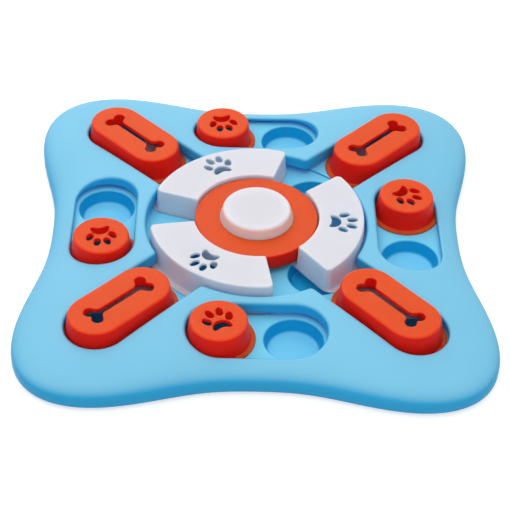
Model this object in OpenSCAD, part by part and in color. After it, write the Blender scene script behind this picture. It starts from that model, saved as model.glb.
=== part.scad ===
// Puzzle feeder toy for dogs: a domed cover over a tray of treat wells, with sliders and turning covers.
// Millimetres, +Z up. The origin is on the surface that the toy stands on, under the middle of the hub.
// Front is -Y, right is +X. Every slot, channel and well repeats each quarter turn.

/* [Outline] */
// Width of the cover outside a side slot, where the toy is narrowest
side_land = 14; // [12:0.1:16]
// Width of the cover outside a diagonal channel, at the tip of a rounded corner
corner_land = 35.6; // [32:0.1:40]
// How full the corners and the waists are drawn
corner_fullness = 4.6; // [3:0.2:6]

/* [Cover] */
// Height of the cover's flat middle
top_z = 25.5; // [25:0.1:27]
// Fall of the dome from its middle to its edge
dome_drop = 18.9; // [17:0.1:20]
// Squareness of the dome's curve, where 2 is an ellipse
dome_power = 2.8; // [2.4:0.1:3.4]
// Thickness of the cover's wall
cover_t = 2.6; // [2:0.1:3.2]
// Width of the cover's side wall, measured towards the middle
side_wall = 3.4; // [2.8:0.1:4]
// Rounding of the cover's bottom edge
rim_round = 2.4; // [1:0.1:2.6]
// Thickness of the lip that hangs round every opening
lip_t = 2.4; // [1.6:0.1:3]
// Depth of the lip's bottom edge below the cover's flat middle
lip_depth = 9.2; // [8:0.1:10]
// Room in the side wall for the paw sliders' flanges, beyond the slots
flange_room = 3.2; // [3:0.1:3.6]

/* [Openings] */
// Radius of the opening in the middle
opening_r = 72.4; // [71.8:0.1:73.5]
// Half the width of a diagonal channel
channel_half_w = 20.6; // [20:0.1:22]
// Distance from the round opening to a bone slider that is pushed out to its stop
bone_room = 9.1; // [8:0.1:11]
// Width of the bridge between the round opening and a side slot
slot_bridge = 7.1; // [6.8:0.1:8]
// Rounding of the cover's noses between the round opening and the channels
nose_round = 3.4; // [2.8:0.1:4]
// Half the distance between the centres of a side slot's two round ends
slot_half = 22.9; // [22:0.1:24]
// Radius of a side slot's round end
slot_end_r = 20.5; // [20:0.1:21]

/* [Tray] */
// Height of the deck that the sliders run on
deck_z = 13; // [12.6:0.1:13.4]
// Thickness of the tray's deck, cups and skirt
tray_t = 2.2; // [1.6:0.1:2.4]
// Gap between the tray's bottom flange and the cover's side wall
skirt_gap = 0.5; // [0.3:0.1:1.2]
// Gap between the deck's edge and the inside of the dome
deck_gap = 1.6; // [1.4:0.1:2]
// Depth of the ring track below the deck
track_step = 1.2; // [1.15:0.05:1.4]
// Width of the ring track beyond the round opening
track_room = 6.2; // [5.8:0.1:6.6]
// Thickness of the ribs under the deck
rib_t = 1.6; // [1.2:0.1:2.2]

/* [Wells] */
// Radius of a well at its mouth
well_r = 18.3; // [17:0.1:19]
// Radius of a well at its floor
well_floor_r = 16.6; // [15:0.1:17]
// Height of the floor of every well
well_floor_z = 3.8; // [3.4:0.1:5]
// Fillet round a well's floor
well_fillet = 2.4; // [1:0.1:3]
// Rounding of a well's mouth
well_rim = 1.5; // [0.6:0.1:1.8]
// Distance from the round opening's edge to the middle of a well in the ring track
ring_well_in = 17.4; // [16.8:0.1:18.2]

/* [Paw sliders] */
// Height of a paw slider's top above the cover's flat middle
paw_rise = 3.6; // [3:0.1:5]
// Side play of a paw slider in its slot
paw_play = 0.8; // [0.4:0.1:1]
// Taper of a slider's side, from its flange to its top
slider_draft = 1.6; // [0.5:0.1:2.5]
// Width of a paw slider's flange beyond its side
paw_flange = 3.3; // [2.5:0.1:3.8]
// Angle of each paw cut-out: front, right, back, left
paw_turns = [114, -44, -80, -79]; // [-180:1:180]

/* [Bone sliders] */
// Height of a bone slider's top above the cover's flat middle
bone_rise = 4.4; // [3:0.1:6]
// Half the distance between the centres of a bone slider's round ends
bone_half = 18.5; // [18:0.1:19]
// Side play of a bone slider in its channel
bone_play = 1.2; // [0.8:0.1:1.4]
// Width of a bone slider's flange beyond its side
bone_flange = 3.5; // [2.5:0.1:3.8]
// Distance that the loose front right bone slider lies in from its stop
loose_slide = 3.2; // [0:0.1:5]

/* [Slider walls] */
// Thickness of a slider's side and of its top
slider_t = 2.4; // [1.6:0.1:2.8]
// Thickness of the sliders' flanges
flange_t = 1.1; // [0.9:0.1:1.4]
// Rounding of the sliders' top edges
edge_round = 1.5; // [0.8:0.1:2]
// Gap under everything that slides on the tray
float_gap = 0.05; // [0.02:0.01:0.1]

/* [Fan covers] */
// Middle angle of each fan cover: back left, front left, right
fan_angles = [117, 234.4, 353.6]; // [0:0.1:360]
// Half the angle that a fan cover spans
fan_half_angle = 45; // [42:0.1:45.4]
// Height of a fan cover's top above the cover's flat middle
fan_rise = 4; // [3:0.1:6]
// Gap between a fan cover and the round opening
fan_gap = 0.9; // [0.5:0.1:1.4]
// Gap between the fan covers' flanges and the edge of the ring track
track_play = 2.5; // [2:0.1:3]
// Width of a fan cover's flange under the hub disc
fan_inner_flange = 5; // [3:0.1:6]
// Thickness of a fan cover's flange
fan_flange_t = 1; // [0.8:0.05:1]
// Thickness of a fan cover's walls and top
fan_t = 2; // [1.6:0.1:2.6]
// Rounding of a fan cover's outer corners, seen from above
fan_corner = 4.4; // [3:0.1:6]
// Taper of a fan cover's walls, from its flange to its top
fan_draft = 1; // [0.4:0.1:1.8]
// Rounding of a fan cover's top edges
fan_round = 1.1; // [0.8:0.1:1.8]

/* [Hub] */
// Radius of the hub disc
disc_r = 40.2; // [39:0.1:40.6]
// Height of the hub disc's top above the cover's flat middle
disc_rise = 1.7; // [1:0.1:3]
// Height of the hub disc's side
disc_h = 10.7; // [9:0.1:11.5]
// Thickness of the hub disc's walls
disc_t = 2.4; // [1.8:0.1:3]
// Gap between the hub disc and the fan covers
disc_gap = 0.6; // [0.5:0.1:1.2]
// Radius of the hub's centre post
post_r = 6; // [5:0.1:7]
// Radial running clearance of the hub disc on its post
post_fit = 0.06; // [0.02:0.01:0.1]
// Radius of the button's foot
button_r = 24; // [23:0.1:26]
// Height of the button above the hub disc
button_h = 7.7; // [6:0.1:10]
// Rounding of the button's top edge
button_round = 1.6; // [1.2:0.1:2.4]
// Radius of the pocket in the hub disc that the button snaps into
pocket_r = 17.8; // [16:0.1:19]

/* [Fasteners and feet] */
// Place of a cover screw, outwards from the middle line of a side slot
screw_out = 12; // [10:0.5:14]
// Place of a cover screw, beyond the end of a side slot
screw_past = 11.6; // [10:0.1:13]
// Radius of a screw's shank
screw_r = 1.75; // [1.5:0.05:2]
// Radius of a screw's head
screw_head_r = 3.4; // [3:0.1:3.8]
// Height of a screw's head
screw_head_h = 2.2; // [1.6:0.1:2.6]
// Radial clearance round a screw's shank
screw_fit = 0.05; // [0.02:0.01:0.1]
// Radius of the boss that a screw bites into
boss_r = 3.9; // [3.4:0.1:4.4]
// Radius of a rubber foot
foot_r = 7; // [5:0.5:8]
// Height that the rubber feet lift the tray
foot_lift = 1.5; // [1.2:0.1:2.5]
// Depth of the socket that a rubber foot sits in
foot_socket = 1.5; // [1:0.1:2]
// Distance from the tip of a corner to the middle of its rubber foot
foot_in = 26.2; // [25.6:0.1:27]

/* [Cut-outs] */
// Distance of the paw's toes from the middle of the paw
toe_ring = 7.4; // [6.8:0.1:7.8]
// Half the length of a toe
toe_long = 3.6; // [3:0.1:3.8]
// Half the width of a toe
toe_wide = 2.3; // [2:0.1:2.5]
// Half the width of the paw's pad
pad_wide = 6.1; // [5:0.1:6.4]
// Height of the paw's pad above its widest place
pad_high = 6.2; // [4.6:0.1:6.6]
// Distance from the middle of the bone to the centres of its lobes
bone_lobe_x = 20.6; // [19:0.1:22]
// Distance of the bone's lobes from its long axis
bone_lobe_y = 3.9; // [3.4:0.1:4.6]
// Radius of the bone's lobes
bone_lobe_r = 3.7; // [3:0.1:4]
// Half the width of the bone's shaft
bone_shaft = 2.1; // [1.6:0.1:2.6]

/* [Hidden] */

$fn = 96;
sky_blue = [0.45, 0.76, 0.91];
orange = [0.92, 0.38, 0.22];
white = [0.90, 0.90, 0.92];
steel = [0.75, 0.76, 0.78];
rubber_black = [0.12, 0.12, 0.13];

QUARTERS = [0, 90, 180, 270];
DIAGONALS = [-45, 45, 135, 225];
EPS = 0.01;                                       // overlap of cutters that share a face
PROUD = 5;                                        // how far a cutter passes beyond what it cuts

slot_r = opening_r + slot_bridge + slot_end_r;    // middle of a side slot
waist_r = slot_r + slot_end_r + side_land;        // radius of the toy at the middle of a side
bone_foot_r = channel_half_w - bone_play;
bone_at = opening_r + bone_room + bone_foot_r + bone_half; // where a bone slider stops
channel_end = bone_at + bone_half - bone_play / 2; // middle of a channel's round end
corner_r = channel_end + channel_half_w + corner_land; // radius of the toy at the tip of a corner
track_r = opening_r + track_room;
ring_well_r = opening_r - ring_well_in;
screw_x = slot_r + screw_out;
screw_y = slot_half + slot_end_r + screw_past;
foot_at = corner_r - foot_in;

outline_points = 96;                              // points round the toy's outline
outline_swing = (corner_r - waist_r) / 2;
outline_mean = (corner_r + waist_r) / 2 - corner_fullness;
rim_z = foot_lift;                                // bottom edge of the cover and of the tray
edge_z = top_z - dome_drop;                       // where the dome meets the side wall
dome_steps = [0.15, 0.32, 0.44, 0.54, 0.64, 0.73, 0.81, 0.88, 0.945, 1];
hollow_steps = [0.2, 0.45, 0.65, 0.8, 0.91, 1];

track_z = deck_z - track_step;
slide_z = deck_z + float_gap;                     // underside of the sliders
lip_z = top_z - lip_depth;
dome_in_z = top_z - cover_t;                      // middle of the dome's underside
deck_turn = acos(pow(1 - (dome_in_z - deck_z) / dome_drop, dome_power / 2));
deck_scale = pow(sin(deck_turn), 2 / dome_power); // scale of the dome's underside at the deck
flange_head = 0.9;                                // headroom above the paw sliders' flanges
nose_step = 0.06;                                 // how far a nose's rounding cuts into its neighbours

paw_foot_r = slot_end_r - paw_play;
paw_top_z = top_z + paw_rise;
paw_at = slot_half + paw_play / 2;                // where a paw slider stops, from the slot's middle
bone_top_z = top_z + bone_rise;
wall_gap = 0.35;                                  // least gap that the loose bone slider keeps
loose_turn = loose_slide > 0 ? asin((bone_play - wall_gap) / (bone_half + bone_play)) : 0;

fan_r = opening_r - fan_gap;
fan_flange = track_r - track_play - fan_r;        // width of a fan cover's flange beyond its wall
fan_in_r = disc_r + disc_gap;
fan_z = track_z + float_gap;
fan_top_z = top_z + fan_rise;
fan_in_corner = 1.6;                              // rounding of a fan cover's inner corners
fan_side_flange = 0.8;                            // flange beyond a fan cover's two straight walls
fan_in_share = 0.25;                              // how much less the wall at the hub is drawn in
least_corner = 0.5;
fan_paw_r = (fan_r + fan_in_r) / 2;

disc_top_z = top_z + disc_rise;
disc_low_z = disc_top_z - disc_h;
disc_round = 0.9;
pocket_floor_t = 2.2;
pocket_floor_z = disc_low_z + pocket_floor_t;
sleeve_t = 3;                                     // wall of the sleeve that turns on the post
sleeve_h = 3.4;                                   // height of the sleeve above the pocket's floor
sleeve_top_z = pocket_floor_z + sleeve_h;
shoulder_t = 4;                                   // width of the shoulder that carries the disc
button_t = 2.2;
button_skirt_t = 1.6;
button_skirt_h = 3.4;
button_flare = 1;                                 // flare round the button's foot
button_lip = 0.4;
button_draft = 0.7;
pocket_fit = 0.1;
washer_r = 8.2;
washer_t = 1;
washer_play = 0.05;                               // lets the disc turn under its washer
hub_screw_depth = 12;

screw_boss_top = 5.6;                             // length of screw in the cover's boss
screw_tip_gap = 0.6;
screw_head_round = 1.3;
screw_socket_r = 1.2;
foot_boss_t = 2;
foot_fit = 0.1;
foot_edge = 0.8;                                  // chamfer of a rubber foot's edge

toe_angles = [-82, -26, 26, 82];
toe_leans = [56, 12, -12, -56];                   // turn of each toe against its spoke
toe_taper = 0.14;
pad_at = 6.7;                                     // pad's place behind the middle of the paw
pad_low = 3.4;                                    // depth of the two lobes behind the pad

// ---------- shapes that repeat ----------

// Radius of the toy's outline at angle a
function outline_r(a) = outline_mean - outline_swing * cos(4 * a) + corner_fullness * cos(8 * a);

// Outline scaled by k about the middle and drawn in by inset, at height z
function outline_ring(z, k = 1, inset = 0) = [
    for (i = [0 : outline_points - 1])
        let (a = 360 * i / outline_points, r = outline_r(a) * k - inset)
        [r * cos(a), r * sin(a), z]
];

// Outline scaled by k and drawn in by inset, as plane points
function outline_plan(inset, k = 1) = [for (p = outline_ring(0, k, inset)) [p[0], p[1]]];

// Dome's scale and fall at step u, from 0 in the middle to 1 at the edge
function dome_scale(u) = pow(sin(90 * u), 2 / dome_power);
function dome_fall(u) = dome_drop * (1 - pow(cos(90 * u), 2 / dome_power));

// Closed skin through rings of points that lie one above the other, lowest first
module loft(rings) {
    n = len(rings[0]);
    m = len(rings);
    polyhedron(
        points = [for (ring = rings) for (p = ring) p],
        faces = concat(
            [[for (j = [0 : n - 1]) j]],
            [for (i = [0 : m - 2], j = [0 : n - 1]) let (a = i * n, b = a + n, k = (j + 1) % n)
                each [[a + j, b + j, b + k], [a + j, b + k, a + k]]],
            [[for (j = [n - 1 : -1 : 0]) (m - 1) * n + j]]
        )
    );
}

// Bar with round ends, half_length from its middle to each end's centre
module oblong(half_length, r, h) {
    for (s = [-1, 1]) translate([s * half_length, 0, 0]) cylinder(r = r, h = h);
    translate([-half_length, -r, 0]) cube([2 * half_length, 2 * r, h]);
}

// Points of a quarter round from angle a0 to a1 about [x, y]
function round_points(x, y, r, a0, a1, steps = 4) = [
    for (i = [0 : steps]) let (a = a0 + (a1 - a0) * i / steps) [x + r * cos(a), y + r * sin(a)]
];

// Egg-shaped toe along X
module toe() {
    polygon([for (a = [0 : 15 : 345]) [toe_long * cos(a), toe_wide * sin(a) * (1 - toe_taper * cos(a))]]);
}

// Pad along Y, arched on the side of the toes at +X and hollow on the other
module pad() {
    polygon(concat(
        [for (a = [0 : 15 : 165]) [pad_high * sin(a), pad_wide * cos(a)]],
        [for (a = [180 : 15 : 345]) [pad_low * sin(a) * pow(cos(a), 2), pad_wide * cos(a)]]
    ));
}

// Paw that points along +X, about the origin
module paw_cut(h) {
    linear_extrude(h) {
        for (i = [0 : 3]) rotate(toe_angles[i]) translate([toe_ring, 0]) rotate(toe_leans[i]) toe();
        translate([-pad_at, 0]) pad();
    }
}

// Bone along X, about the origin
module bone_cut(h) {
    for (x = [-1, 1], y = [-1, 1]) translate([x * bone_lobe_x, y * bone_lobe_y, 0])
        cylinder(r = bone_lobe_r, h = h, $fn = 48);
    translate([-bone_lobe_x, -bone_shaft, 0]) cube([2 * bone_lobe_x, 2 * bone_shaft, h]);
}

// Shank hole of a screw, from the origin up
module screw_hole(h) {
    cylinder(r = screw_r + screw_fit, h = h, $fn = 48);
}

// Outside of a slider's half section, from its foot up: flange, tapered side and rounded top edge
function cap_side(foot_r, flange, top) = concat(
    [[foot_r - slider_t, slide_z], [foot_r + flange, slide_z]],
    [[foot_r + flange, slide_z + flange_t], [foot_r, slide_z + flange_t]],
    round_points(foot_r - slider_draft - edge_round, top - edge_round, edge_round, 0, 90)
);

// Inner corner of a slider's half section, where its side meets its top
function cap_corner(foot_r, top) = [foot_r - slider_draft - slider_t, top - slider_t];

// Half section of a slider from its middle out, open underneath
function cap_half(foot_r, flange, top) =
    concat(cap_side(foot_r, flange, top), [[0, top], [0, top - slider_t]], [cap_corner(foot_r, top)]);

// Whole section of a slider, from one flange to the other
function cap_whole(foot_r, flange, top) = let (
        side = cap_side(foot_r, flange, top),
        corner = cap_corner(foot_r, top)
    ) concat(side, [for (i = [len(side) - 1 : -1 : 0]) flip(side[i])], [flip(corner), corner]);

function flip(p) = [-p[0], p[1]];

// ---------- tray ----------

// Cup of a well, up to the underside of the deck whose top lies at height z
module well_cup(z) {
    color(sky_blue) difference() {
        translate([0, 0, rim_z])
            cylinder(r1 = well_floor_r + tray_t, r2 = well_r + tray_t, h = z - tray_t - rim_z);
        well_hollow(z);
    }
}

// Hollow of a well whose mouth lies at height z, in the tray's own height
module well_hollow(z) {
    rotate_extrude() polygon(concat(
        [[0, well_floor_z], [well_floor_r - well_fillet, well_floor_z]],
        round_points(well_floor_r - well_fillet, well_floor_z + well_fillet, well_fillet, -90, -8),
        round_points(well_r + well_rim, z - well_rim, well_rim, 180, 90, 3),
        [[well_r + well_rim, z + EPS], [0, z + EPS]]
    ));
}

module at_side_wells() {
    for (q = QUARTERS, s = [-1, 1]) rotate(q) translate([slot_r, s * slot_half, 0]) children();
}

module at_diagonals(r) {
    for (q = DIAGONALS) rotate(q) translate([r, 0, 0]) children();
}

module at_screws() {
    for (q = QUARTERS, s = [-1, 1]) rotate(q) translate([screw_x, s * screw_y, 0]) children();
}

module base_tray() {
    inset = side_wall + deck_gap;
    color(sky_blue) difference() {
        union() {
            translate([0, 0, deck_z - tray_t]) linear_extrude(tray_t) polygon(outline_plan(inset, deck_scale));
            // Skirt down from the deck's edge, and the flange round its foot
            translate([0, 0, rim_z]) linear_extrude(deck_z - tray_t / 2 - rim_z) difference() {
                polygon(outline_plan(inset, deck_scale));
                polygon(outline_plan(inset + tray_t, deck_scale));
            }
            translate([0, 0, rim_z]) linear_extrude(tray_t) difference() {
                polygon(outline_plan(side_wall + skirt_gap));
                polygon(outline_plan(inset + tray_t / 2, deck_scale));
            }
            // Track under the fan covers, one step down
            translate([0, 0, track_z - tray_t])
                cylinder(r = track_r + tray_t, h = deck_z - track_z + tray_t / 2);
            translate([0, 0, rim_z]) {
                at_diagonals(foot_at) cylinder(r = foot_r + foot_boss_t, h = deck_z - rim_z - EPS);
                // Ribs from the hub's post to the skirt
                for (q = QUARTERS) rotate(q) translate([0, -rib_t / 2, 0])
                    cube([waist_r * deck_scale - inset - tray_t / 2, rib_t, deck_z - tray_t / 2 - rim_z]);
                cylinder(r = post_r + shoulder_t, h = disc_low_z - rim_z - float_gap);
            }
            translate([0, 0, track_z]) cylinder(r = post_r, h = sleeve_top_z - track_z);
        }
        difference() {
            translate([0, 0, track_z]) cylinder(r = track_r, h = PROUD);
            cylinder(r = post_r + shoulder_t, h = top_z);
        }
        at_side_wells() well_hollow(deck_z);
        at_diagonals(channel_end) well_hollow(deck_z);
        at_diagonals(ring_well_r) well_hollow(track_z);
        at_screws() screw_hole(top_z);
        at_diagonals(foot_at) translate([0, 0, rim_z - PROUD])
            cylinder(r = foot_r + foot_fit, h = foot_socket + PROUD);
        translate([0, 0, sleeve_top_z - hub_screw_depth - screw_tip_gap]) screw_hole(top_z);
    }
}

module rubber_foot(k) {
    foot_top = foot_lift + foot_socket;
    color(rubber_black) rotate(DIAGONALS[k]) translate([foot_at, 0, 0]) rotate_extrude() polygon([
        [0, 0], [foot_r - foot_edge, 0], [foot_r, foot_edge], [foot_r, foot_top], [0, foot_top]
    ]);
}

// ---------- cover ----------

// Outside of the cover, solid
module cover_form() {
    loft(concat(
        [for (a = [0, 45, 90]) outline_ring(rim_z + rim_round * (1 - cos(a)), 1, rim_round * (1 - sin(a)))],
        [for (i = [len(dome_steps) - 1 : -1 : 0]) let (u = dome_steps[i])
            outline_ring(top_z - dome_fall(u), dome_scale(u))]
    ));
}

// Hollow under the cover, without its lips
module cover_hollow() {
    loft(concat(
        [outline_ring(rim_z - PROUD, 1, side_wall)],
        [for (i = [len(hollow_steps) - 1 : -1 : 0]) let (u = hollow_steps[i])
            outline_ring(dome_in_z - dome_fall(u), dome_scale(u), side_wall)]
    ));
}

// The four side slots, widened by grow, h high from the origin up
module side_slots(grow, h) {
    for (q = QUARTERS) rotate(q) translate([slot_r, 0, 0]) rotate(90)
        oblong(slot_half, slot_end_r + grow, h);
}

// What the rounding of a nose takes off, where the round opening meets the side of a channel along X
module nose(grow, h) {
    r = opening_r + grow - nose_step;
    side = channel_half_w + grow - nose_step;
    far = opening_r + nose_round;
    y = channel_half_w + nose_round;
    x = sqrt(far * far - y * y);
    linear_extrude(h) difference() {
        polygon([[x, y], [x * r / far, y * r / far], [sqrt(r * r - side * side), side], [x, side]]);
        translate([x, y]) circle(r = nose_round - grow + nose_step, $fn = 32);
    }
}

// Every opening of the cover, widened by grow, from height z up
module cover_openings(grow, z) {
    h = top_z + PROUD - z;
    translate([0, 0, z]) {
        cylinder(r = opening_r + grow, h = h, $fn = 144);
        for (q = DIAGONALS) rotate(q) {
            translate([channel_end, 0, 0]) cylinder(r = channel_half_w + grow, h = h);
            translate([0, -channel_half_w - grow, 0]) cube([channel_end, 2 * (channel_half_w + grow), h]);
            nose(grow, h);
            mirror([0, 1, 0]) nose(grow, h);
        }
        side_slots(grow, h);
    }
}

module top_cover() {
    color(sky_blue) difference() {
        cover_form();
        difference() {
            cover_hollow();
            cover_openings(lip_t, lip_z);
            at_screws() translate([0, 0, deck_z]) cylinder(r = boss_r, h = top_z);
        }
        cover_openings(0, -PROUD);
        side_slots(flange_room, slide_z + flange_t + flange_head);
        at_screws() screw_hole(deck_z + screw_boss_top + screw_tip_gap);
    }
}

// Pan-head screw with its seat at the origin and its shank along +Z
module screw(shank) {
    pan_z = screw_head_round - screw_head_h;
    rotate_extrude($fn = 48) polygon(concat(
        [[0, -screw_head_h / 2], [screw_socket_r, -screw_head_h / 2], [screw_socket_r, -screw_head_h]],
        round_points(screw_head_r - screw_head_round, pan_z, screw_head_round, -90, 0),
        [[screw_head_r, 0], [screw_r, 0], [screw_r, shank - screw_r], [0, shank]]
    ));
}

module cover_screws() {
    color(steel) at_screws() translate([0, 0, deck_z - tray_t]) screw(tray_t + screw_boss_top);
}

// ---------- sliders ----------

// Round cap with a paw cut-out, at slot number k, turned so that its slot runs along Y
module paw_slider(k, turn, side) {
    color(orange) rotate(QUARTERS[k]) translate([slot_r, side * paw_at, 0]) difference() {
        rotate_extrude() polygon(cap_half(paw_foot_r, paw_flange, paw_top_z));
        translate([0, 0, slide_z + PROUD]) rotate(turn - QUARTERS[k]) paw_cut(paw_top_z);
    }
}

// Oblong cap with a bone cut-out, in channel number k, moved in from its stop and turned in its play
module bone_slider(k, inward = 0, turn = 0) {
    color(orange) rotate(DIAGONALS[k]) translate([bone_at - inward, 0, 0]) rotate(turn) difference() {
        union() {
            for (end = [0, 180]) rotate(end) translate([bone_half, 0, 0]) rotate(-90)
                rotate_extrude(angle = 180) polygon(cap_half(bone_foot_r, bone_flange, bone_top_z));
            rotate([90, 0, 90]) translate([0, 0, -bone_half])
                linear_extrude(2 * bone_half) polygon(cap_whole(bone_foot_r, bone_flange, bone_top_z));
        }
        translate([0, 0, slide_z + PROUD]) bone_cut(bone_top_z);
    }
}

// ---------- fan covers ----------

// Half of a fan cover's plan, from the middle of its outer edge to the middle of its inner edge.
// The straight side is moved towards the middle by side.
function fan_half_plan(r_out, r_in, c_out, c_in, side) = let (
        a_out = fan_half_angle - asin((side + c_out) / (r_out - c_out)),
        a_in = fan_half_angle - asin((side + c_in) / (r_in + c_in)),
        square = fan_half_angle + 90
    ) concat(
        [for (i = [0 : 9]) let (a = a_out * i / 10) [r_out * cos(a), r_out * sin(a)]],
        round_points((r_out - c_out) * cos(a_out), (r_out - c_out) * sin(a_out), c_out, a_out, square, 6),
        round_points((r_in + c_in) * cos(a_in), (r_in + c_in) * sin(a_in), c_in, square, a_in + 180, 4),
        [for (i = [7 : -1 : 0]) let (a = a_in * i / 8) [r_in * cos(a), r_in * sin(a)]]
    );

// Plan of a fan cover about +X: a slice of a ring with rounded corners
function fan_plan(r_out, r_in, c_out, c_in, side) = let (
        half = fan_half_plan(r_out, r_in, c_out, c_in, side)
    ) concat(half, [for (i = [len(half) - 2 : -1 : 1]) [half[i][0], -half[i][1]]]);

// Ring of points round a fan cover at height z, drawn in by inset, and by in_inset at the hub
function fan_ring(z, inset, in_inset) = let (
        c_out = max(fan_corner - inset, least_corner),
        c_in = max(fan_in_corner - in_inset, least_corner)
    ) [for (p = fan_plan(fan_r - inset, fan_in_r + in_inset, c_out, c_in, inset)) [p[0], p[1], z]];

module fan_cover(k) {
    round_z = fan_top_z - fan_round;
    hollow_z = fan_top_z - fan_t;
    flange_r = fan_r + fan_flange;
    flange_in_r = fan_in_r - fan_inner_flange;
    flange_corner = fan_corner + fan_flange;
    color(white) rotate(fan_angles[k]) difference() {
        union() {
            translate([0, 0, fan_z]) linear_extrude(fan_flange_t)
                polygon(fan_plan(flange_r, flange_in_r, flange_corner, fan_in_corner, -fan_side_flange));
            loft(concat(
                [fan_ring(fan_z + fan_flange_t / 2, 0, 0)],
                [for (a = [0, 30, 60, 90]) let (inset = fan_draft + fan_round * (1 - cos(a)))
                    fan_ring(round_z + fan_round * sin(a), inset, inset * fan_in_share)]
            ));
        }
        loft([
            fan_ring(fan_z - PROUD, fan_t, fan_t),
            fan_ring(hollow_z - fan_round / 2, fan_t + fan_draft, fan_t + fan_draft),
            fan_ring(hollow_z, fan_t + fan_draft + fan_round / 2, fan_t + fan_draft + fan_round / 2)
        ]);
        translate([fan_paw_r, 0, fan_z + PROUD]) paw_cut(fan_top_z);
    }
}

// ---------- hub ----------

// Drum with a snap pocket for the button and a sleeve that turns on the tray's post
module hub_disc() {
    bore = post_r + post_fit;
    under = disc_top_z - disc_t;
    sleeve_end = sleeve_top_z - washer_play;
    color(orange) rotate_extrude($fn = 144) polygon(concat(
        [[bore, disc_low_z], [pocket_r + disc_t, disc_low_z], [pocket_r + disc_t, under]],
        [[disc_r - disc_t, under], [disc_r - disc_t, disc_low_z], [disc_r, disc_low_z]],
        round_points(disc_r - disc_round, disc_top_z - disc_round, disc_round, 0, 90),
        [[pocket_r, disc_top_z], [pocket_r, pocket_floor_z], [bore + sleeve_t, pocket_floor_z]],
        [[bore + sleeve_t, sleeve_end], [bore, sleeve_end]]
    ));
}

// Snap-in cap with a rounded edge
module hub_button() {
    skirt_r = pocket_r - pocket_fit;
    skirt_in_r = skirt_r - button_skirt_t;
    skirt_z = disc_top_z - button_skirt_h;
    lip_top = disc_top_z + button_lip;
    side_r = button_r - button_flare - button_draft;
    top = disc_top_z + button_h;
    color(white) rotate_extrude($fn = 144) polygon(concat(
        [[skirt_in_r, skirt_z], [skirt_r, skirt_z], [skirt_r, disc_top_z], [button_r, disc_top_z]],
        round_points(button_r, lip_top + button_flare, button_flare, -90, -180),
        round_points(side_r - button_round, top - button_round, button_round, 0, 90),
        [[0, top], [0, top - button_t], [skirt_in_r, top - button_t]]
    ));
}

module hub_washer() {
    color(steel) translate([0, 0, sleeve_top_z]) difference() {
        cylinder(r = washer_r, h = washer_t);
        translate([0, 0, -EPS]) screw_hole(washer_t + 2 * EPS);
    }
}

module hub_screw() {
    color(steel) translate([0, 0, sleeve_top_z + washer_t]) mirror([0, 0, 1])
        screw(washer_t + hub_screw_depth);
}

base_tray();
at_side_wells() well_cup(deck_z);  // side_wells
at_diagonals(channel_end) well_cup(deck_z);  // corner_wells
at_diagonals(ring_well_r) well_cup(track_z);  // ring_wells
top_cover();
cover_screws();
hub_screw();
hub_washer();
hub_disc();
hub_button();
fan_cover(0);  // fan_cover_back_left
fan_cover(1);  // fan_cover_front_left
fan_cover(2);  // fan_cover_right
bone_slider(0, loose_slide, -loose_turn);  // bone_slider_front_right
bone_slider(1);  // bone_slider_back_right
bone_slider(2);  // bone_slider_back_left
bone_slider(3);  // bone_slider_front_left
paw_slider(3, paw_turns[0], -1);  // paw_slider_front
paw_slider(0, paw_turns[1], 1);  // paw_slider_right
paw_slider(1, paw_turns[2], 1);  // paw_slider_back
paw_slider(2, paw_turns[3], 1);  // paw_slider_left
rubber_foot(0);  // rubber_foot_front_right
rubber_foot(1);  // rubber_foot_back_right
rubber_foot(2);  // rubber_foot_back_left
rubber_foot(3);  // rubber_foot_front_left
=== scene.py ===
import math

import bpy
import numpy as np
from mathutils import Matrix, Vector
from mathutils.geometry import delaunay_2d_cdt


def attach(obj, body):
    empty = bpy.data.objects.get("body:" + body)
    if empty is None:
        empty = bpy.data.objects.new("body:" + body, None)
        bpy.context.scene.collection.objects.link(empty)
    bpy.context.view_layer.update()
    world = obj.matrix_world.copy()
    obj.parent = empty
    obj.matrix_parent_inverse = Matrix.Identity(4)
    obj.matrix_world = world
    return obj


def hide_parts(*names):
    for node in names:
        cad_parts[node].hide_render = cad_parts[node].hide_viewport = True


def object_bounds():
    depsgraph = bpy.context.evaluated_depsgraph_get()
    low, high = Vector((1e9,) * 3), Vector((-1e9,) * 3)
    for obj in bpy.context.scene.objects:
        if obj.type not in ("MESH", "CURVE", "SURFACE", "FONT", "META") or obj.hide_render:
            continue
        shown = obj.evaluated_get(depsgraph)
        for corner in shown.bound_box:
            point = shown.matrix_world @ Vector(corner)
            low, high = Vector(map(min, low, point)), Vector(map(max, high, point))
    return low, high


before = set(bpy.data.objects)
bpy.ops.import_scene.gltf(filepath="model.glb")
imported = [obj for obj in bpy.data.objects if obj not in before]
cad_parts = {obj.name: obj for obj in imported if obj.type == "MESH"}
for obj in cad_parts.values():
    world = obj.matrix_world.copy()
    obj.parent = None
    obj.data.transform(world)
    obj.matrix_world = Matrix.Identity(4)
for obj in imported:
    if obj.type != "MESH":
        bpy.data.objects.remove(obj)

bl_info = {
    "name": "Puzzle Feeder Finisher",
    "version": (1, 0, 0),
    "blender": (4, 5, 0),
    "location": "View3D > Sidebar > Feeder",
    "description": "Dresses the packed puzzle feeder toy in finely rounded, moulded plastic pieces",
    "category": "Object",
}

CAD_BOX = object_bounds()
SIDES = ("front_right", "back_right", "back_left", "front_left")
QUARTERS = (0, 90, 180, 270)
DIAGONALS = (-45, 45, 135, 225)

# Round sliders: name, side that they lie at, which way they rest in their slot, turn of the paw.
PAW_SLIDERS = (
    ("front", 270, -1, 114), ("right", 0, 1, -44), ("back", 90, 1, -80), ("left", 180, 1, -79),
)
FAN_ANGLES = (("back_left", 117), ("front_left", 234.4), ("right", 353.6))
TOES = ((-82, 56), (-26, 12), (26, -12), (82, -56))  # spoke and lean of each toe

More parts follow.
